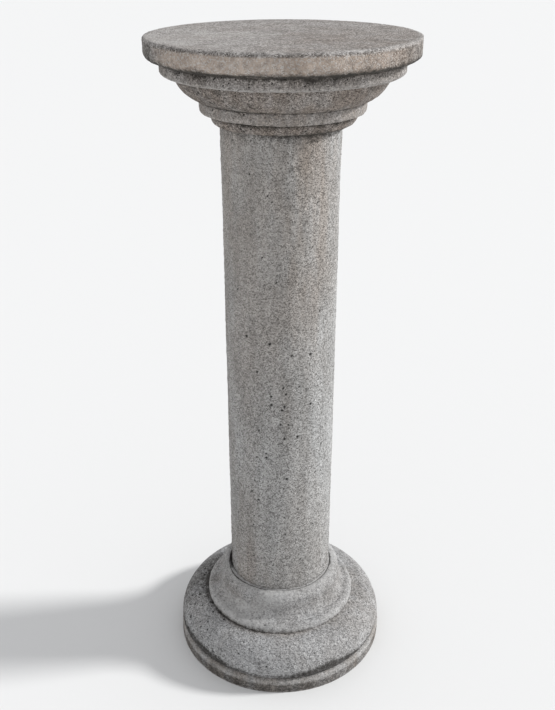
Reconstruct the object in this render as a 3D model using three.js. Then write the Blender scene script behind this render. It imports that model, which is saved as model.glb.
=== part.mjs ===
// A round garden column of cast stone in the plain Doric manner: a moulded base with a
// shallow socket, a smooth shaft standing in that socket, and a moulded capital with a round slab.
// Millimetres, +Z up. The origin is on the ground, on the column's axis.
import * as THREE from 'three';

// Shaft: almost a true cylinder, with a very slight flare under the capital
const shaftRadius = 85;
const shaftLength = 774.6;
const flareHeight = 110;
const flareOut = 1.1;

// Joints between the castings
const bedJoint = 0.3;
const socketClearance = 3;
const socketDepth = 12;
const bedMargin = 5.9;

// Base, heights from the ground up
const plinthFaceHeight = 17.5;
const plinthRoundHeight = 8.5;
const grooveHeight = 0.5;
const torusTuckHeight = 6.5;
const torusHeight = 48.5;
const collarFaceHeight = 4.5;
const collarRoundHeight = 8;
const hollowHeight = 20;
const neckFaceHeight = 7.5;
const shoulderHeight = 18.9;

// Base, widths from the socket outwards
const lipWidth = 3;
const shoulderWidth = 13;
const hollowWidth = 13;
const collarRoundWidth = 10;
const quirkWidth = 1.5;
const torusWidth = 47.5;
const torusTuck = 10;
const plinthStep = 1.5;
const plinthRoundWidth = 9;

// Capital, heights from its bed up
const astragalRoundHeight = 15;
const astragalFaceHeight = 2;
const annuletRoundHeight = 6.5;
const annuletFaceHeight = 10;
const echinusHeight = 33.5;
const ringRoundHeight = 5.5;
const ringFaceHeight = 11.5;
const soffitRise = 4.5;
const slabRoundHeight = 9.5;
const slabFaceHeight = 14;
const arrisHeight = 5;

// Capital, widths from its bed outwards
const astragalWidth = 12.5;
const annuletStep = 9;
const annuletRoundWidth = 3;
const echinusFootStep = 1.5;
const echinusWidth = 32;
const echinusBulge = 5.8;
const ringStep = 5;
const ringRoundWidth = 13;
const soffitWidth = 11;
const slabRoundWidth = 9;
const arrisWidth = 5;

// Fineness of the turned surfaces
const facets = 56;
const smallCurveSteps = 4;
const largeCurveSteps = 8;

// A profile is a list of (radius, height) points, drawn by steps from the last point
function startProfile() {
  return [new THREE.Vector2(0, 0)];
}

function step(profile, out, up) {
  const last = profile.at(-1);
  profile.push(new THREE.Vector2(last.x + out, last.y + up));
}

// A quarter of an ellipse that leaves the last point upright and arrives level
function roundFromUpright(profile, out, up, steps) {
  const { x, y } = profile.at(-1);
  for (let i = 1; i <= steps; i++) {
    const turn = (i / steps) * Math.PI / 2;
    profile.push(new THREE.Vector2(x + out * (1 - Math.cos(turn)), y + up * Math.sin(turn)));
  }
}

// A quarter of an ellipse that leaves the last point level and arrives upright
function roundFromLevel(profile, out, up, steps) {
  const { x, y } = profile.at(-1);
  for (let i = 1; i <= steps; i++) {
    const turn = (i / steps) * Math.PI / 2;
    profile.push(new THREE.Vector2(x + out * Math.sin(turn), y + up * (1 - Math.cos(turn))));
  }
}

// A shallow arc that swells outwards and down from the straight line by the bulge at its middle
function bulgedLine(profile, out, up, bulge, steps) {
  const { x, y } = profile.at(-1);
  const length = Math.hypot(out, up);
  for (let i = 1; i <= steps; i++) {
    const along = i / steps;
    const swell = bulge * 4 * along * (1 - along);
    const outward = swell * up / length;
    const downward = swell * out / length;
    profile.push(new THREE.Vector2(x + out * along + outward, y + up * along - downward));
  }
}

function closeOnAxis(profile) {
  step(profile, -profile.at(-1).x, 0);
}

// Turns a profile about the upright axis and stands it at the given height
function turnedPiece(name, profile, height, material) {
  const geometry = new THREE.LatheGeometry(profile, facets);
  geometry.rotateX(Math.PI / 2);
  const piece = new THREE.Mesh(geometry, material);
  piece.name = name;
  piece.position.z = height;
  return piece;
}

function castStone(color) {
  return new THREE.MeshStandardMaterial({ color, roughness: 0.95, metalness: 0 });
}

// Radii that the pieces share
const shaftTopRadius = shaftRadius + flareOut;
const socketRadius = shaftRadius + socketClearance;
const collarRadius = socketRadius + lipWidth + shoulderWidth + hollowWidth + collarRoundWidth;
const torusRadius = collarRadius + quirkWidth + torusWidth;
const plinthRadius = torusRadius + plinthStep;

function baseProfile() {
  const profile = startProfile();
  step(profile, plinthRadius, 0);
  step(profile, 0, plinthFaceHeight);
  roundFromUpright(profile, -plinthRoundWidth, plinthRoundHeight, smallCurveSteps);
  // a narrow groove parts the plinth from the torus
  step(profile, torusRadius - torusTuck - profile.at(-1).x, 0);
  step(profile, 0, grooveHeight);
  roundFromLevel(profile, torusTuck, torusTuckHeight, smallCurveSteps);
  roundFromUpright(profile, -torusWidth, torusHeight, largeCurveSteps);
  // the collar: a rolled edge, a hollow above it, an upright neck and a rounded shoulder
  step(profile, -quirkWidth, 0);
  step(profile, 0, collarFaceHeight);
  roundFromUpright(profile, -collarRoundWidth, collarRoundHeight, smallCurveSteps);
  roundFromLevel(profile, -hollowWidth, hollowHeight, smallCurveSteps);
  step(profile, 0, neckFaceHeight);
  roundFromUpright(profile, -shoulderWidth, shoulderHeight, smallCurveSteps);
  step(profile, -lipWidth, 0);
  step(profile, 0, -socketDepth);
  closeOnAxis(profile);
  return profile;
}

function shaftProfile() {
  const profile = startProfile();
  step(profile, shaftRadius, 0);
  step(profile, 0, shaftLength - flareHeight);
  for (let i = 1; i <= smallCurveSteps; i++) {
    const before = ((i - 1) / smallCurveSteps) ** 2;
    const now = (i / smallCurveSteps) ** 2;
    step(profile, flareOut * (now - before), flareHeight / smallCurveSteps);
  }
  closeOnAxis(profile);
  return profile;
}

function capitalProfile() {
  const profile = startProfile();
  step(profile, shaftTopRadius + bedMargin, 0);
  roundFromLevel(profile, astragalWidth, astragalRoundHeight, smallCurveSteps);
  step(profile, 0, astragalFaceHeight);
  step(profile, annuletStep, 0);
  roundFromLevel(profile, annuletRoundWidth, annuletRoundHeight, smallCurveSteps);
  step(profile, 0, annuletFaceHeight);
  step(profile, echinusFootStep, 0);
  bulgedLine(profile, echinusWidth, echinusHeight, echinusBulge, largeCurveSteps);
  step(profile, ringStep, 0);
  roundFromLevel(profile, ringRoundWidth, ringRoundHeight, smallCurveSteps);
  step(profile, 0, ringFaceHeight);
  step(profile, soffitWidth, soffitRise);
  roundFromLevel(profile, slabRoundWidth, slabRoundHeight, smallCurveSteps);
  step(profile, 0, slabFaceHeight);
  roundFromUpright(profile, -arrisWidth, arrisHeight, smallCurveSteps);
  closeOnAxis(profile);
  return profile;
}

const basePoints = baseProfile();
const shaftFootHeight = basePoints.at(-1).y + bedJoint;
const capitalBedHeight = shaftFootHeight + shaftLength + bedJoint;

const group = new THREE.Group();
group.add(turnedPiece('base', basePoints, 0, castStone(0x9c9a96)));
group.add(turnedPiece('shaft', shaftProfile(), shaftFootHeight, castStone(0x8f8d88)));
group.add(turnedPiece('capital', capitalProfile(), capitalBedHeight, castStone(0x9b948b)));

export default group;
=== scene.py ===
import math

import bpy
import numpy as np
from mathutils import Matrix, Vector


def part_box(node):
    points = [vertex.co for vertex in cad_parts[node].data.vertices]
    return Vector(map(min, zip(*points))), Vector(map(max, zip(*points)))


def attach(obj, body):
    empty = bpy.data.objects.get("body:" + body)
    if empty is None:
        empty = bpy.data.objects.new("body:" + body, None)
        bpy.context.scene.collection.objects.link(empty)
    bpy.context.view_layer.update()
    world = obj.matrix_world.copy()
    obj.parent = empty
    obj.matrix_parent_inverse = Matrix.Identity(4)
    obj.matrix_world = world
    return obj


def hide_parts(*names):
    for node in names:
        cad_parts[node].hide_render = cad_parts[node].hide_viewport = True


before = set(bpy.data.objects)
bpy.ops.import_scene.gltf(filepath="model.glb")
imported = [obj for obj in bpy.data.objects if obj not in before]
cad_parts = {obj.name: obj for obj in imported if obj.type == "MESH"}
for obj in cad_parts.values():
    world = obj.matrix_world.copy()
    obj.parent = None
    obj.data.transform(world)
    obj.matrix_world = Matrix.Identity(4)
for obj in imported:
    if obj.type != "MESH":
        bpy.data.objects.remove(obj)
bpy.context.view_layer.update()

# The weathered cast-stone finish of a round garden column: three castings, each turned from
# its outline by one node tree and then worn, stained and pitted as old cast stone is, with some painted light
# and painted shade.
# Lengths are in metres; sizes written in millimetres are multiplied by MM.
MM = 0.001

# Camera: a hand-held view from the front, looking down on the column. The place is in metres,
# the angles are in degrees and the lens is in millimetres
CAMERA_PLACE = (-0.00125, -1.2628, 1.1627)
CAMERA_DOWN = 26.252
CAMERA_LEFT = 0.225
CAMERA_LENS = 45.24

# Light: a broad key from the right-hand side, which is a turn of 90, and pale light all round.
# The angles are in degrees
KEY_TURN = 96
KEY_HEIGHT = 30
KEY_SOFTNESS = 9
KEY_STRENGTH = 3.4
ROOM_COLOUR = "#fbfcff"
ROOM_STRENGTH = 0.75

# The studio floor, a square in metres
FLOOR_SIZE = 40.0
FLOOR_COLOUR = "#dddddc"

# Mouldings in millimetres, each as how far it goes out and how far up.
# The base, from the ground up
PLINTH_FACE = (0, 17.5)
PLINTH_ROUND = (-9, 8.5)
GROOVE_FLOOR = (-2.5, 0)
GROOVE_BACK = (0, 0.5)
TORUS_TUCK = (10, 6.5)
TORUS = (-47.5, 48.5)
QUIRK = (-1.5, 0)
COLLAR_FACE = (0, 4.5)
COLLAR_ROLL = (-10, 8)
HOLLOW = (-13, 20)
NECK_FACE = (0, 7.5)
SHOULDER = (-13, 18.9)
LIP = (-3, 0)
MORTAR_DIP = (-0.4, -0.7)
MORTAR_FACE = (-2.3, 0.5)
MORTAR_DEPTH = (0, -11)

# The shaft's slight flare under the capital
FLARE_HEIGHT = 110
FLARE_OUT = 1.1

# The capital, from its bed up
BED_MARGIN = 5.9
ASTRAGAL_ROUND = (12.5, 15)
ASTRAGAL_FACE = (0, 2)
ANNULET_SOFFIT = (9, 0)
ANNULET_ROUND = (3, 6.5)
ANNULET_FACE = (0, 10)
ECHINUS_FOOT = (1.5, 0)
ECHINUS = (32, 33.5)
ECHINUS_BULGE = 5.8
RING_SOFFIT = (5, 0)
RING_ROUND = (13, 5.5)
RING_FACE = (0, 11.5)
SLAB_SOFFIT = (11, 4.5)
SLAB_ROUND = (9, 9.5)
SLAB_FACE = (0, 14)
ARRIS = (-5, 5)

# Places on the slab, in millimetres along its outline: how far up its lower round the face seems
# to start, and how far up its arris the wear is deepest
SLAB_FOOT = 3
WORN_EDGE = 3.9

# Fineness of the meshes: spacing along an outline in millimetres, faces around the column, and
# the distance in millimetres within which points are merged
BASE_SPACING = 1.5
MORTAR_SPACING = 0.6
JOINT_SPACING = 4
SHAFT_SPACING = 2.12
CAPITAL_SPACING = 1.6
TOP_SPACING = 4.6
HIDDEN_SPACING = 22
BASE_AROUND = 640
SHAFT_AROUND = 262
CAPITAL_AROUND = 560
SEAM_REACH = 0.01

# How the castings sit on each other: each a little off the axis, and the slab low on the left
BASE_SLIP = -2.0 * MM
SHAFT_SLIP = -1.25 * MM
CAPITAL_SLIP = 1.25 * MM
CAPITAL_TILT = math.radians(0.18)

# How far each rough surface is lifted, in millimetres, to lie about half outside its outline
BASE_LIFT = 0.8
SHAFT_LIFT = 0.95
CAPITAL_LIFT = 0.8

# Wear in millimetres: mortar gone from the joint, mortar smeared over the lip, the crease under
# the collar filled up, and the astragal worn off
MORTAR_LOSS = 8
MORTAR_SMEAR = 3.6
CREASE_FILL = 2
ASTRAGAL_WEAR = 4.6

# Patterns of the stone and the height of its grit, in millimetres. Real sand is too fine to show
# from here, so its grains are drawn as coarse as they need to be
SAND_SIZE = 1.4
GRIT_SIZE = 4.5
RAGGED_SIZE = 8
STREAK_SIZE = 21
BLOTCH_SIZE = 26
DAMP_SIZE = 70
BUMP_DEPTH = 1.8

# Rain draws streaks, blotches and damp out in height; this is their width over their height
RAIN_STRETCH = 0.22

# Tints that all three castings share: grey blotches, and the dark inside of a pit
BLOTCH_COLOUR = "#bdbab6"
PIT_COLOUR = "#1d1b19"

QUARTER_TURN = math.pi / 2


def linear(code):
    """Turns an sRGB hex colour such as #9c9a96 into a linear RGBA colour."""
    shares = [int(code[i:i + 2], 16) / 255 for i in (1, 3, 5)]
    channels = [
        share / 12.92 if share <= 0.04045 else ((share + 0.055) / 1.055) ** 2.4 for share in shares
    ]
    return (*channels, 1.0)


def put(tree, kind, inputs=None, **settings):
    """Adds a node, gives it its settings, and sets or links its inputs by name or number."""
    node = tree.nodes.new(kind)
    for name, value in settings.items():
        setattr(node, name, value)
    for socket, value in (inputs or {}).items():
        if isinstance(value, bpy.types.NodeSocket):
            tree.links.new(value, node.inputs[socket])
        else:
            node.inputs[socket].default_value = value
    return node


class Outline:
    """A profile that is drawn from the axis outwards and up, as radius and height in metres.

    Each point also has its way along the profile and the share of surface relief that it takes.
    """

    def __init__(self, height, spacing):
        self.points = [(0.0, height)]
        self.relief = [0.0]
        self.along = [0.0]
        self.marks = {}
        self.spacing = spacing

    def add(self, radius, height, relief):
        last = self.points[-1]
        self.along.append(self.along[-1] + math.dist(last, (radius, height)))
        self.points.append((radius, height))
        self.relief.append(relief)

    def draw(self, span, path, relief=1.0, spacing=None):
        """Follows a path from 0 to 1 that says which shares of the span's width and height are done."""
        radius, height = self.points[-1]
        out, up = span[0] * MM, span[1] * MM
        steps = max(1, round(math.hypot(out, up) / ((spacing or self.spacing) * MM)))
        for i in range(1, steps + 1):
            along_out, along_up = path(i / steps)
            self.add(radius + out * along_out, height + up * along_up, relief)

    def line(self, span, relief=1.0, spacing=None):
        self.draw(span, lambda t: (t, t), relief, spacing)

    def round_from_upright(self, span):
        """A quarter of an ellipse that starts upright and ends level."""
        self.draw(span, lambda t: (1 - math.cos(t * QUARTER_TURN), math.sin(t * QUARTER_TURN)))

    def round_from_level(self, span):
        """A quarter of an ellipse that starts level and ends upright."""
        self.draw(span, lambda t: (math.sin(t * QUARTER_TURN), 1 - math.cos(t * QUARTER_TURN)))

    def bulge(self, span, bulge):
        """A shallow arc that swells out and down from the straight line."""
        length = math.hypot(*span)
        out_share = bulge * span[1] / length / span[0]
        up_share = bulge * span[0] / length / span[1]

        def path(t):
            swell = 4 * t * (1 - t)
            return t + out_share * swell, t - up_share * swell

        self.draw(span, path)

    def mark(self, name, further=0.0):
        """Remembers the present place along the profile, or one some millimetres further on."""
        self.marks[name] = self.along[-1] + further * MM

    def close(self, relief=0.0, spacing=HIDDEN_SPACING):
        """Runs level to the axis."""
        self.line((-self.points[-1][0] / MM, 0), relief, spacing)


def base_outline():
    low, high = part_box("base")
    outline = Outline(low.z, BASE_SPACING)
    outline.line((high.x / MM, 0), relief=0.0, spacing=HIDDEN_SPACING)
    outline.mark("ground")
    outline.line(PLINTH_FACE)
    outline.mark("plinth edge")
    outline.round_from_upright(PLINTH_ROUND)
    outline.mark("groove")
    outline.line(GROOVE_FLOOR, relief=0.3)
    outline.line(GROOVE_BACK, relief=0.3)
    outline.round_from_level(TORUS_TUCK)
    outline.mark("torus foot")
    outline.round_from_upright(TORUS)
    outline.line(QUIRK)
    outline.mark("collar crease")
    outline.line(COLLAR_FACE)
    outline.mark("collar roll")
    outline.round_from_upright(COLLAR_ROLL)
    outline.round_from_level(HOLLOW)
    outline.mark("hollow")
    outline.line(NECK_FACE)
    outline.round_from_upright(SHOULDER)
    outline.line(LIP)
    outline.mark("lip")
    outline.line(MORTAR_DIP, relief=0.2, spacing=MORTAR_SPACING)
    outline.mark("mortar edge")
    outline.line(MORTAR_FACE, relief=0.2, spacing=MORTAR_SPACING)
    outline.mark("mortar")
    outline.line(MORTAR_DEPTH, relief=0.0, spacing=JOINT_SPACING)
    outline.close()
    return outline


def shaft_outline():
    low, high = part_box("shaft")
    radius = high.x / MM - FLARE_OUT
    length = (high.z - low.z) / MM
    outline = Outline(low.z, SHAFT_SPACING)
    outline.line((radius, 0), relief=0.0, spacing=HIDDEN_SPACING)
    outline.line((0, length - FLARE_HEIGHT))
    outline.draw((FLARE_OUT, FLARE_HEIGHT), lambda t: (t * t, t))
    outline.close()
    return outline


def capital_outline():
    outline = Outline(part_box("capital")[0].z, CAPITAL_SPACING)
    bed_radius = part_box("shaft")[1].x / MM + BED_MARGIN
    outline.line((bed_radius, 0), relief=0.0, spacing=HIDDEN_SPACING)
    outline.mark("bed")
    outline.round_from_level(ASTRAGAL_ROUND)
    outline.line(ASTRAGAL_FACE)
    outline.mark("astragal crease")
    outline.line(ANNULET_SOFFIT)
    outline.round_from_level(ANNULET_ROUND)
    outline.line(ANNULET_FACE)
    outline.mark("annulet crease")
    outline.line(ECHINUS_FOOT)
    outline.bulge(ECHINUS, ECHINUS_BULGE)
    outline.mark("ring crease")
    outline.line(RING_SOFFIT)
    outline.round_from_level(RING_ROUND)
    outline.line(RING_FACE)
    outline.mark("slab crease")
    outline.line(SLAB_SOFFIT)
    outline.mark("slab foot", further=SLAB_FOOT)
    outline.round_from_level(SLAB_ROUND)
    outline.line(SLAB_FACE)
    outline.mark("arris")
    outline.mark("edge", further=WORN_EDGE)
    outline.round_from_upright(ARRIS)
    outline.mark("top")
    outline.close(relief=0.5, spacing=TOP_SPACING)
    return outline


def turning_tree():
    """Node tree that turns an outline about the upright axis and cuts the relief of old cast stone.

    The relief only cuts in. Surface.swell then lifts the casting by about half of it.
    """
    tree = bpy.data.node_groups.new("turned casting", "GeometryNodeTree")
    face = tree.interface
    face.new_socket("Outline", in_out="INPUT", socket_type="NodeSocketGeometry")
    face.new_socket("Around", in_out="INPUT", socket_type="NodeSocketInt")
    for name in ("Swell Size", "Swell Depth", "Lump Size", "Lump Depth", "Grain Size", "Grain Depth", "Seed"):
        face.new_socket(name, in_out="INPUT", socket_type="NodeSocketFloat")
    face.new_socket("Material", in_out="INPUT", socket_type="NodeSocketMaterial")
    face.new_socket("Casting", in_out="OUTPUT", socket_type="NodeSocketGeometry")
    given = put(tree, "NodeGroupInput").outputs
    outline = given["Outline"]

    # a grid whose rows are the outline's points and whose columns go round the axis
    rows = put(tree, "GeometryNodeAttributeDomainSize", {0: outline}, component="MESH").outputs["Point Count"]
    columns = put(tree, "ShaderNodeMath", {0: given["Around"], 1: 1.0}, operation="ADD").outputs[0]
    grid = put(tree, "GeometryNodeMeshGrid", {"Vertices X": columns, "Vertices Y": rows}).outputs["Mesh"]
    index = put(tree, "GeometryNodeInputIndex").outputs[0]
    share = put(tree, "ShaderNodeMath", {0: index, 1: rows}, operation="DIVIDE").outputs[0]
    column = put(tree, "ShaderNodeMath", {0: share}, operation="FLOOR").outputs[0]
    row = put(tree, "ShaderNodeMath", {0: index, 1: rows}, operation="MODULO").outputs[0]
    turn = put(tree, "ShaderNodeMath", {0: column, 1: given["Around"]}, operation="DIVIDE").outputs[0]
    angle = put(tree, "ShaderNodeMath", {0: turn, 1: math.tau}, operation="MULTIPLY").outputs[0]

    # each point of the outline is looked up by its row
    found = {}
    for name in ("relief", "along"):
        field = put(tree, "GeometryNodeInputNamedAttribute", {"Name": name}, data_type="FLOAT").outputs[0]
        found[name] = put(
            tree, "GeometryNodeSampleIndex", {0: outline, 1: field, "Index": row}, data_type="FLOAT"
        ).outputs[0]
    place = put(tree, "GeometryNodeInputPosition").outputs[0]
    point = put(
        tree, "GeometryNodeSampleIndex", {0: outline, 1: place, "Index": row}, data_type="FLOAT_VECTOR"
    ).outputs[0]
    parts = put(tree, "ShaderNodeSeparateXYZ", {0: point}).outputs
    unturned = put(tree, "ShaderNodeCombineXYZ", {"Y": parts["X"], "Z": parts["Z"]}).outputs[0]
    turned = put(
        tree, "ShaderNodeVectorRotate", {"Vector": unturned, "Angle": angle}, rotation_type="Z_AXIS"
    ).outputs[0]
    shape = put(tree, "GeometryNodeSetPosition", {"Geometry": grid, "Position": turned}).outputs[0]
    for name, value in found.items():
        shape = put(
            tree, "GeometryNodeStoreNamedAttribute", {"Geometry": shape, "Name": name, "Value": value},
            data_type="FLOAT", domain="POINT",
        ).outputs[0]

    # the seam and the poles are closed
    shape = put(
        tree, "GeometryNodeMergeByDistance", {"Geometry": shape, "Distance": SEAM_REACH * MM}
    ).outputs[0]

    # three sizes of relief: the swell of a hand-finished mould, lumps, and sandy grain. Each is a
    # noise that cuts nothing at its low level and its full depth at its high level
    depth = 0.0
    for size, low, high, detail in (
        ("Swell", 0.3, 0.7, 1.0),
        ("Lump", 0.28, 0.72, 1.0),
        ("Grain", 0.3, 0.7, 0.0),
    ):
        scale = put(tree, "ShaderNodeMath", {0: 1.0, 1: given[size + " Size"]}, operation="DIVIDE").outputs[0]
        noise = put(
            tree, "ShaderNodeTexNoise",
            {"Vector": place, "W": given["Seed"], "Scale": scale, "Detail": detail, "Roughness": 0.55},
            noise_dimensions="4D",
        ).outputs[0]
        level = put(
            tree, "ShaderNodeMapRange", {"Value": noise, "From Min": low, "From Max": high}
        ).outputs[0]
        if size == "Lump":
            shape = put(
                tree, "GeometryNodeStoreNamedAttribute", {"Geometry": shape, "Name": "cut", "Value": level},
                data_type="FLOAT", domain="POINT",
            ).outputs[0]
        depth = put(
            tree, "ShaderNodeMath", {0: level, 1: given[size + " Depth"], 2: depth}, operation="MULTIPLY_ADD"
        ).outputs[0]
    relief = put(tree, "GeometryNodeInputNamedAttribute", {"Name": "relief"}, data_type="FLOAT").outputs[0]
    depth = put(tree, "ShaderNodeMath", {0: depth, 1: relief}, operation="MULTIPLY").outputs[0]
    inward = put(tree, "ShaderNodeMath", {0: depth, 1: -1.0}, operation="MULTIPLY").outputs[0]
    normal = put(tree, "GeometryNodeInputNormal").outputs[0]
    cut = put(tree, "ShaderNodeVectorMath", {0: normal, "Scale": inward}, operation="SCALE").outputs[0]
    shape = put(tree, "GeometryNodeSetPosition", {"Geometry": shape, "Offset": cut}).outputs[0]
    shape = put(tree, "GeometryNodeSetShadeSmooth", {"Geometry": shape}).outputs[0]
    shape = put(tree, "GeometryNodeRealizeInstances", {0: shape}).outputs[0]
    shape = put(
        tree, "GeometryNodeSetMaterial", {"Geometry": shape, "Material": given["Material"]}
    ).outputs[0]
    put(tree, "NodeGroupOutput", {0: shape})
    return tree


def turned_piece(name, outline, tree, material, **sizes):
    """Runs the turning tree on an outline and returns the result as a plain mesh object."""
    wire = bpy.data.meshes.new(name + " outline")
    points = [(radius, 0.0, height) for radius, height in outline.points]
    wire.from_pydata(points, [(i, i + 1) for i in range(len(points) - 1)], [])
    for key, values in (("relief", outline.relief), ("along", outline.along)):
        wire.attributes.new(key, "FLOAT", "POINT").data.foreach_set("value", values)
    holder = bpy.data.objects.new(name + " outline", wire)
    bpy.context.scene.collection.objects.link(holder)
    modifier = holder.modifiers.new("turn", "NODES")
    modifier.node_group = tree
    sockets = {item.name: item.identifier for item in tree.interface.items_tree if item.in_out == "INPUT"}
    modifier[sockets["Material"]] = material
    for key, value in sizes.items():
        modifier[sockets[key.replace("_", " ").title()]] = value
    evaluated = holder.evaluated_get(bpy.context.evaluated_depsgraph_get())
    mesh = bpy.data.meshes.new_from_object(evaluated)
    holder.modifiers.clear()
    bpy.data.objects.remove(holder)
    bpy.data.meshes.remove(wire)
    mesh.name = name
    piece = bpy.data.objects.new(name, mesh)
    bpy.context.scene.collection.objects.link(piece)
    return piece


class Surface:
    """The points of a turned piece, with what wear and stains need to know of each.

    turn is the way round the axis in degrees: 0 faces the camera, 90 is the right-hand side.
    along is the way along the outline, and marks are its named places.
    """

    def __init__(self, piece, outline):
        self.mesh = piece.data
        self.place = np.empty(len(self.mesh.vertices) * 3)
        self.mesh.vertices.foreach_get("co", self.place)
        self.place = self.place.reshape(-1, 3)
        self.normal = np.array([normal.vector for normal in self.mesh.vertex_normals])
        self.along = self.read("along")
        self.relief = self.read("relief")
        self.turn = np.degrees(np.arctan2(self.place[:, 0], -self.place[:, 1]))
        self.height = self.place[:, 2].copy()
        self.marks = outline.marks

    def read(self, name):
        values = np.empty(len(self.mesh.vertices))
        self.mesh.attributes[name].data.foreach_get("value", values)
        return values

    def near(self, mark, below, above, earlier=0.0):
        """1 at a mark, or some millimetres before it, fading over the millimetres below and above."""
        away = self.along - self.marks[mark] + earlier * MM
        reach = np.where(away < 0, below, above) * MM
        return np.exp(-((away / reach) ** 2))

    def between(self, first, last, soft=1.5):
        """1 between two marks, with edges that are soft over some millimetres."""
        rise = (self.along - self.marks[first]) / (soft * MM)
        fall = (self.marks[last] - self.along) / (soft * MM)
        return np.clip(rise + 0.5, 0, 1) * np.clip(fall + 0.5, 0, 1)

    def rising(self, low, high):
        """0 below one height and 1 above another, both in millimetres."""
        return np.clip((self.height / MM - low) / (high - low), 0, 1)

    def towards(self, side, spread):
        """1 towards a side of the column, fading over the spread, both in degrees."""
        away = (self.turn - side + 180) % 360 - 180
        return np.exp(-((away / spread) ** 2))

    def wander(self, seed, waves):
        """A smooth random value from -1 to 1 that runs round the column and meets itself."""
        random = np.random.default_rng(seed)
        total = np.zeros_like(self.turn)
        for wave in range(1, waves + 1):
            phase = random.uniform(0, math.tau)
            total += random.uniform(0.4, 1) * np.sin(np.radians(self.turn) * wave + phase)
        return total / np.abs(total).max()

    def wear(self, depth):
        """Cuts the surface in by a depth at each point."""
        self.place -= self.normal * depth[:, None]

    def swell(self, height):
        """Lifts the rough surface, so that about half of the relief lies outside the outline."""
        self.wear(-height * self.relief)

    def keep(self, slip, **stains):
        """Slides the piece sideways, writes its points back and stores each stain, painted light and painted
        shade for the material.
        """
        self.place[:, 0] += slip
        self.mesh.vertices.foreach_set("co", self.place.ravel())
        for name, values in stains.items():
            layer = self.mesh.attributes.new(name, "FLOAT", "POINT")
            layer.data.foreach_set("value", np.clip(values, 0, 1).astype(np.float32))
        for name in ("relief", "along"):
            self.mesh.attributes.remove(self.mesh.attributes[name])
        self.mesh.update()


def pits(skin, seed, number, likely, sizes, depth):
    """Scatters small round pits where they are likely, as air left in the casting.

    Cuts them and returns how much each point lies in one. Sizes and depth are in millimetres.
    """
    random = np.random.default_rng(seed)
    inside = np.zeros(len(skin.turn))
    for middle in random.choice(len(inside), number, p=likely / likely.sum()):
        radius = random.uniform(*sizes) * MM
        away = np.linalg.norm(skin.place - skin.place[middle], axis=1) / radius
        inside = np.maximum(inside, np.exp(-(away ** 2)))
    skin.wear(inside * depth * MM)
    return inside


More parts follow.
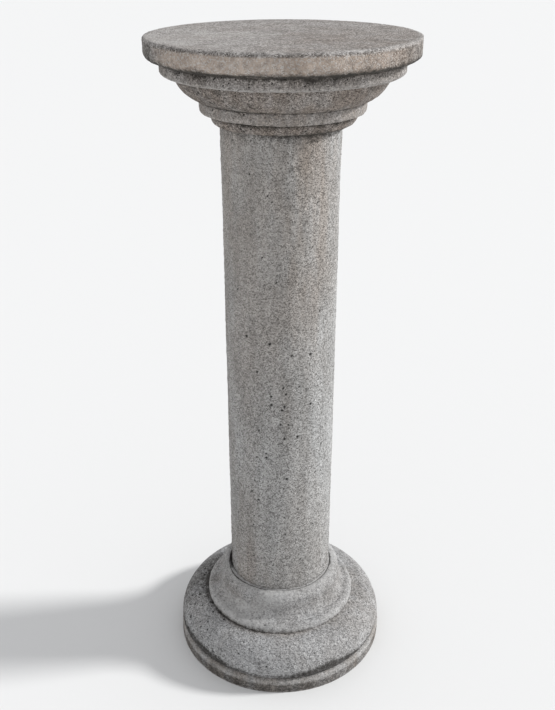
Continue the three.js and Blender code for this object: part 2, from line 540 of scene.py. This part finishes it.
def stone(name, body, light, dark, brown, soot_and_shade, pale, buff=None):
    """Weathered cast stone, pressed from sand, fine gravel and cement and left outdoors.

    The cement skin has washed off, so sand grains show as a fine light and dark speckle over
    a dull matt body. Soot and painted shade darken the creases, undersides and shaded sides, brown
    stains run down, worn edges go pale, and painted light makes some faces paler.
    """
    material = bpy.data.materials.new(name)
    material.use_nodes = True
    tree = material.node_tree
    tree.nodes.clear()
    place = put(tree, "ShaderNodeTexCoord").outputs["Object"]
    stretched = put(
        tree, "ShaderNodeMapping", {"Vector": place, "Scale": (1.0, 1.0, RAIN_STRETCH)}
    ).outputs[0]

    # each sand grain is a cell with a brightness of its own
    grain = put(tree, "ShaderNodeTexVoronoi", {"Vector": place, "Scale": 1 / (SAND_SIZE * MM)}).outputs
    sand = put(tree, "ShaderNodeSeparateColor", {0: grain["Color"]}).outputs["Red"]

    # gravel, the edge of dirt and painted shade, streaks where rain runs, blotches and broad damp
    noises = {}
    for key, vector, size, detail in (
        ("grit", place, GRIT_SIZE, 2.0),
        ("ragged", place, RAGGED_SIZE, 4.0),
        ("streak", stretched, STREAK_SIZE, 3.0),
        ("blotch", stretched, BLOTCH_SIZE, 3.0),
        ("damp", stretched, DAMP_SIZE, 3.0),
    ):
        noises[key] = put(
            tree, "ShaderNodeTexNoise", {"Vector": vector, "Scale": 1 / (size * MM), "Detail": detail}
        ).outputs[0]
    grit = noises["grit"]

    # how deep each point is cut, how much dirt and painted shade it has, and how far it lies in a pit
    cut, dirt, pit = [
        put(tree, "ShaderNodeAttribute", attribute_name=key).outputs["Fac"] for key in ("cut", "dirt", "pit")
    ]

    # single grains stand clear of the dirt and painted shade, so their edges are ragged
    gaps = put(
        tree, "ShaderNodeMapRange",
        {"Value": noises["ragged"], "From Min": 0.3, "From Max": 0.7, "To Min": 0.3, "To Max": -0.2},
    ).outputs[0]
    clean = put(tree, "ShaderNodeMath", {0: sand, 1: 0.28, 2: gaps}, operation="MULTIPLY_ADD").outputs[0]
    ragged = put(tree, "ShaderNodeMath", {0: dirt, 1: clean}, operation="SUBTRACT").outputs[0]

    # Layers of colour over the dark sand grains, the first one lowest. Each has its colour, how it is
    # laid on, what it follows between which levels, its share at those levels, and the stain that it
    # is kept to. The stains tint the speckle, so that the grains still show through them. Some of them
    # hold painted light and painted shade as well
    layers = (
        (body, "MIX", sand, (0.1, 0.4), (0.0, 1.0), None),
        (buff, "MIX", grit, (0.3, 0.6), (0.5, 0.9), "buff"),
        (light, "MIX", sand, (0.65, 0.95), (0.0, 1.0), None),
        (brown, "MULTIPLY", noises["damp"], (0.44, 0.66), (0.0, 0.25), None),
        (brown, "MULTIPLY", noises["streak"], (0.35, 0.6), (0.35, 1.0), "brown"),
        (BLOTCH_COLOUR, "MULTIPLY", noises["blotch"], (0.32, 0.62), (0.45, 0.0), None),
        (pale, "MIX", grit, (0.3, 0.6), (0.3, 1.0), "pale"),
        (soot_and_shade, "MIX", cut, (0.45, 1.0), (0.0, 0.26), None),
        (soot_and_shade, "MIX", ragged, (0.0, 0.8), (0.0, 0.94), None),
        (PIT_COLOUR, "MIX", pit, (0.2, 0.6), (0.0, 0.92), None),
    )
    colour = linear(dark)
    for over, kind, follows, (low, high), (least, most), stain in layers:
        if not over:
            continue
        share = put(
            tree, "ShaderNodeMapRange",
            {"Value": follows, "From Min": low, "From Max": high, "To Min": least, "To Max": most},
        ).outputs[0]
        if stain:
            amount = put(tree, "ShaderNodeAttribute", attribute_name=stain).outputs["Fac"]
            share = put(tree, "ShaderNodeMath", {0: amount, 1: share}, operation="MULTIPLY").outputs[0]
        colour = put(
            tree, "ShaderNodeMix", {0: share, 6: colour, 7: linear(over)}, data_type="RGBA", blend_type=kind
        ).outputs[2]

    # grains stand out as small domes on the coarser grit, and the grit is a little smoother on top
    domes = put(
        tree, "ShaderNodeMath", {0: grain["Distance"], 1: -0.5, 2: grit}, operation="MULTIPLY_ADD"
    ).outputs[0]
    bump = put(
        tree, "ShaderNodeBump", {"Strength": 1.0, "Distance": BUMP_DEPTH * MM, "Height": domes}
    ).outputs[0]
    roughness = put(
        tree, "ShaderNodeMapRange",
        {"Value": grit, "From Min": 0.3, "From Max": 0.7, "To Min": 0.97, "To Max": 0.86},
    ).outputs[0]
    shader = put(tree, "ShaderNodeBsdfPrincipled", {
        "Base Color": colour,
        "Roughness": roughness,
        "IOR": 1.5,
        "Specular IOR Level": 0.3,
        "Normal": bump,
    })
    put(tree, "ShaderNodeOutputMaterial", {0: shader.outputs[0]})
    return material


def finished(piece, node):
    """Fixes the piece to the column, in place of its solid, which it hides."""
    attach(piece, "root")
    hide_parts(node)


def make_base(tree):
    outline = base_outline()
    material = stone(
        "cast stone, weathered, base", body="#a5a5a5", light="#c8c8c8", dark="#757575", brown="#dfd6cd",
        soot_and_shade="#34312e", pale="#b9b8b6",
    )
    piece = turned_piece(
        "base_casting", outline, tree, material, around=BASE_AROUND, swell_size=70 * MM, swell_depth=1.0 * MM,
        lump_size=6 * MM, lump_depth=0.55 * MM, grain_size=3.4 * MM, grain_depth=0.25 * MM, seed=1.0,
    )
    skin = Surface(piece, outline)
    skin.swell(BASE_LIFT * MM)
    torus = skin.between("torus foot", "collar crease", 8)
    left = skin.towards(-75, 55)

    # the mortar has dropped out of the joint on the left, which leaves a dark crescent
    gap = np.clip(1.5 * skin.towards(-90, 20) - 0.3, 0, 1) * skin.between("mortar edge", "mortar", 0.5)
    skin.place[:, 2] -= gap * MORTAR_LOSS * MM

    # pits lie thickest on the left of the torus, and small ones everywhere above the groove
    likely = torus * skin.towards(-80, 38)
    pit = pits(skin, seed=11, number=65, likely=likely, sizes=(1.2, 2.3), depth=1.5)
    likely = skin.rising(24, 30) * skin.relief
    pit = np.maximum(pit, pits(skin, seed=12, number=80, likely=likely, sizes=(0.9, 1.5), depth=1.0))

    # the crease under the collar has filled up, except on the left
    skin.wear(-CREASE_FILL * MM * (1 - left) * skin.near("collar crease", 4, 4))

    # the mortar is smeared over the lip at the left front, as far as its dark outer edge
    smear = MORTAR_SMEAR * skin.towards(-57, 20)
    mortar = np.clip((skin.along - skin.marks["lip"]) / MM + smear, 0, 1)
    mortar = mortar * (skin.along < skin.marks["mortar"])

    # soot fills the groove and lies on the torus's foot, broadest at two places in front. It marks
    # the crease, the mortar's edge and the open joint, and dulls the left of the torus. Dirt and painted
    # shade darken the plinth's face, and painted shade darkens the right side of the torus
    broad = skin.towards(-52, 26) + 0.9 * skin.towards(28, 20)
    dirt = (
        1.3 * skin.near("groove", 1.5, 6) * (0.85 + 0.25 * skin.wander(3, 7))
        + (0.55 + broad) * skin.near("torus foot", 9, 3 + 10 * broad)
        + (0.1 + 0.8 * left) * skin.near("collar crease", 2 + 2.5 * left, 1.2)
        + 0.65 * skin.towards(-10, 60) * skin.near("collar crease", 4, 7)
        + 0.3 * left * skin.near("collar crease", 14, 5)
        + 1.8 * skin.near("lip", 1.2, 0.7, earlier=smear)
        + 0.9 * gap
        + (0.6 * skin.towards(-100, 30) + 0.22 * skin.towards(75, 50)) * torus
        + (0.38 + 0.27 * skin.towards(-10, 50)) * skin.between("ground", "plinth edge", 8)
        + 0.1 * skin.between("ground", "groove", 4)
    )
    # brown stains, and a brown tint on the right of the torus that is painted shade
    brown = (
        skin.between("ground", "groove", 3)
        + 0.35 * skin.near("hollow", 18, 10) * (0.6 + 0.4 * skin.wander(4, 5))
        + 0.9 * skin.near("collar crease", 7, 4) * skin.towards(-15, 60)
        + 0.5 * left * (skin.along > skin.marks["collar crease"])
        + 0.4 * skin.towards(75, 45) * torus
    )

    # worn edges and the mortar are pale. The shoulder under the lip and the left front of the collar are
    # painted paler, which is painted light
    pale = (
        0.45 * skin.near("plinth edge", 1, 8)
        + 0.5 * skin.near("collar roll", 3, 7)
        + 0.6 * skin.near("lip", 14, 1)
        + 0.8 * skin.towards(-35, 28) * skin.between("collar roll", "hollow", 8)
        + 0.6 * skin.towards(-10, 16) * skin.between("hollow", "lip", 8)
        + 0.9 * mortar
    )
    skin.keep(BASE_SLIP, dirt=dirt, brown=brown, pale=pale, pit=pit)
    finished(piece, "base")


def make_shaft(tree):
    outline = shaft_outline()
    material = stone(
        "cast stone, weathered, shaft", body="#aaaaa9", light="#cbcbca", dark="#6e6d6b", brown="#ecdfd4",
        soot_and_shade="#3b3834", pale="#a4a09b",
    )
    piece = turned_piece(
        "shaft_casting", outline, tree, material, around=SHAFT_AROUND, swell_size=110 * MM,
        swell_depth=0.5 * MM, lump_size=5.4 * MM, lump_depth=1.2 * MM, grain_size=4.2 * MM,
        grain_depth=0.3 * MM, seed=2.0,
    )
    skin = Surface(piece, outline)
    skin.swell(SHAFT_LIFT * MM)

    # large pits at mid height in front, and small ones all over
    likely = skin.rising(240, 330) * (1 - skin.rising(560, 650)) * skin.towards(-6, 32)
    pit = pits(skin, seed=21, number=24, likely=likely, sizes=(1.7, 2.6), depth=2.2)
    likely = skin.relief * skin.rising(140, 150)
    pit = np.maximum(pit, pits(skin, seed=22, number=70, likely=likely, sizes=(1.0, 1.7), depth=1.3))

    # rust-brown damp on the left, at its foot and top most, and a darker brown stripe at the upper right
    upper = skin.rising(450, 800)
    foot = 1 - skin.rising(150, 260)
    brown = (0.2 + 0.4 * upper + 0.4 * foot) * skin.towards(-60, 60) + 0.9 * upper * skin.towards(28, 32)

    # painted shadow of the capital on the shaft's top, darkest in a line along its bed at the right
    # front, and painted shade up both sides of the foot and further up on the left
    dirt = (
        0.55 * skin.rising(880, 908)
        + 0.8 * skin.towards(22, 34) * skin.rising(896, 903)
        + (0.6 * skin.towards(-88, 22) + 0.4 * skin.towards(80, 35)) * foot
        + 0.3 * (1 - upper) * skin.towards(-92, 20)
    )

    # the sheltered upper left keeps some of its smooth cement skin
    pale = 0.35 * skin.rising(480, 780) * skin.towards(-50, 60)
    skin.keep(SHAFT_SLIP, dirt=dirt, brown=brown, pale=pale, pit=pit)
    finished(piece, "shaft")


def make_capital(tree):
    outline = capital_outline()
    material = stone(
        "cast stone, weathered, capital", body="#9c9895", light="#c8c4c0", dark="#68635f", brown="#d6cabf",
        soot_and_shade="#322f2b", pale="#cfcdca", buff="#c0b1a4",
    )
    piece = turned_piece(
        "capital_casting", outline, tree, material, around=CAPITAL_AROUND, swell_size=60 * MM,
        swell_depth=1.0 * MM, lump_size=6 * MM, lump_depth=0.6 * MM, grain_size=3.6 * MM,
        grain_depth=0.3 * MM, seed=3.0,
    )
    skin = Surface(piece, outline)
    skin.swell(CAPITAL_LIFT * MM)

    # worn places: the astragal on the left, and an uneven arris that is sharper away from the front
    chips = 1.6 * skin.towards(-55, 4) + 2.0 * skin.towards(56, 6) + 1.4 * skin.towards(43, 4)
    chips += skin.towards(-36, 3) + 1.2 * skin.towards(22, 5) + skin.towards(31, 3)
    front = skin.towards(-8, 60)
    rim = skin.near("edge", 4, 4) * (1.9 * front - 1.5 + 0.5 * skin.wander(5, 31) + chips)
    astragal = ASTRAGAL_WEAR * skin.towards(-88, 24) * skin.near("astragal crease", 14, 1.5)
    skin.wear((rim + astragal) * MM)

    # pits, most of them at the left front and under the slab
    mouldings = skin.between("bed", "slab foot")
    left = skin.towards(-50, 40)
    likely = mouldings * (0.1 + left)
    pit = pits(skin, seed=31, number=65, likely=likely, sizes=(1.1, 2.0), depth=1.4)
    likely = skin.near("slab crease", 10, 2) * skin.towards(-10, 60)
    pit = np.maximum(pit, pits(skin, seed=32, number=26, likely=likely, sizes=(1.0, 1.5), depth=1.0))

    # soot and painted shade under the slab, round its lower edge and on the top of the ring under it,
    # soot streaks down the ring, a painted shadow line in the ring crease, painted shade at the bed,
    # strongest at the right front, and darkening in the other creases
    streaks = skin.towards(-38, 4) + skin.towards(12, 4)
    streaks += 0.6 * skin.towards(-55, 3) + 0.6 * skin.towards(22, 3)
    dirt = (
        (1.0 + 0.3 * skin.wander(6, 19)) * skin.between("slab crease", "slab foot", 4)
        + (0.85 + 0.25 * skin.wander(9, 11)) * skin.near("slab foot", 2, 7)
        + (0.22 + 0.3 * skin.wander(8, 23)) * skin.near("slab crease", 5, 1)
        + 0.8 * streaks * skin.near("slab crease", 9, 5)
        + 1.1 * skin.near("ring crease", 0.9, 2)
        + 1.2 * skin.towards(22, 1.2) * skin.near("ring crease", 2, 6)
        + (0.82 + 0.3 * left) * skin.near("annulet crease", 1.5, 5.5)
        + (0.95 + 0.2 * skin.wander(10, 17)) * skin.near("astragal crease", 5.5, 5)
        + (0.4 + skin.towards(22, 34)) * skin.near("bed", 1, 8)
        + 0.36 * skin.towards(-48, 34) * skin.between("annulet crease", "ring crease", 5)
        + 0.1 * mouldings
    )

    # the slab's face is buff. It is sooty at its left end, which stops short in front and fades out
    # behind, and spotted on the right
    end = np.clip(3 * skin.towards(-88, 27) - 0.35, 0, 1)
    end = np.where(skin.turn < -88, skin.towards(-88, 40), end)
    spotted = skin.towards(68, 30)
    fascia = skin.between("slab foot", "arris", 3)
    dirt += fascia * (0.62 * end + 0.5 * spotted)
    buff = fascia * (1 - 0.95 * end) * (1 - 0.75 * spotted)

    # dirt on the worn arris, with a darker line at its foot, strongest from the left to the middle,
    # and in one chip
    uneven = (0.8 + 0.35 * skin.wander(7, 13)) * (0.35 + 0.65 * skin.towards(-18, 50))
    dirt += uneven * (0.35 * skin.near("arris", 1.5, 2.5) + 0.42 * skin.between("arris", "top", 3))
    dirt += 0.8 * skin.towards(40, 4) * skin.near("top", 0.5, 2)

    # brown damp on the mouldings, on the right of the top and on the right of the face
    flat = skin.along > skin.marks["top"]
    brown = 0.8 * mouldings - 0.45 * skin.between("ring crease", "slab crease", 3)
    brown += 0.45 * flat * skin.towards(60, 60) + 0.7 * fascia * skin.towards(42, 22)

    # painted light on the ring's underside and lower edge, a pale lower edge of the annulet, a pale worn
    # arris, and the left of the top
    pale = skin.near("ring crease", 0.1, 16) * (skin.along > skin.marks["ring crease"])
    pale = np.maximum(pale, 0.25 * skin.between("astragal crease", "annulet crease", 3))
    pale += (0.2 + 0.6 * skin.towards(29, 7)) * skin.between("edge", "top", 3)
    pale += 0.25 * flat * skin.towards(-75, 50)

    # the slab's low side is the left one, and no worn point leaves the casting's own size. Points
    # within 1 mm of the axis count as 1 mm away, so that none divides by zero
    low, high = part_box("capital")
    skin.place[:, 2] = np.minimum(skin.place[:, 2], high.z)
    rise = np.clip((skin.place[:, 2] - low.z) / (high.z - low.z), 0, 1)
    skin.place[:, 2] -= math.tan(CAPITAL_TILT) * (high.x - skin.place[:, 0]) * rise
    centred = skin.place[:, :2] + (CAPITAL_SLIP, 0)
    reach = np.maximum(np.hypot(*centred.T), 1 * MM)
    skin.place[:, :2] = centred * np.minimum(high.x / reach, 1)[:, None] - (CAPITAL_SLIP, 0)
    skin.keep(CAPITAL_SLIP, dirt=dirt, brown=brown, pale=pale, buff=buff, pit=pit)
    finished(piece, "capital")


def make_floor():
    """A plain pale studio floor."""
    half = FLOOR_SIZE / 2
    corners = [(-half, -half, 0), (half, -half, 0), (half, half, 0), (-half, half, 0)]
    mesh = bpy.data.meshes.new("floor")
    mesh.from_pydata(corners, [], [(0, 1, 2, 3)])
    floor = bpy.data.objects.new("floor", mesh)
    bpy.context.scene.collection.objects.link(floor)
    material = bpy.data.materials.new("studio floor, matt paint")
    material.use_nodes = True
    shader = material.node_tree.nodes["Principled BSDF"]
    shader.inputs["Base Color"].default_value = linear(FLOOR_COLOUR)
    shader.inputs["Roughness"].default_value = 0.95
    shader.inputs["Specular IOR Level"].default_value = 0.1
    mesh.materials.append(material)


def make_studio():
    """A broad soft key light from the upper right, and pale light from all round."""
    key = bpy.data.lights.new("key", "SUN")
    key.energy = KEY_STRENGTH
    key.angle = math.radians(KEY_SOFTNESS)
    lamp = bpy.data.objects.new("key", key)
    lamp.rotation_euler = (0, math.radians(90 - KEY_HEIGHT), math.radians(KEY_TURN - 90))
    bpy.context.scene.collection.objects.link(lamp)
    world = bpy.data.worlds.new("studio")
    world.use_nodes = True
    background = world.node_tree.nodes["Background"]
    background.inputs["Color"].default_value = linear(ROOM_COLOUR)
    background.inputs["Strength"].default_value = ROOM_STRENGTH
    bpy.context.scene.world = world
    bpy.context.scene.view_settings.view_transform = "Standard"


def make_camera():
    data = bpy.data.cameras.new("camera")
    data.lens = CAMERA_LENS
    camera = bpy.data.objects.new("camera", data)
    camera.location = CAMERA_PLACE
    camera.rotation_euler = (math.radians(90 - CAMERA_DOWN), 0, math.radians(CAMERA_LEFT))
    bpy.context.scene.collection.objects.link(camera)
    bpy.context.scene.camera = camera


make_camera()
make_studio()
make_floor()
turning = turning_tree()
make_base(turning)
make_shaft(turning)
make_capital(turning)
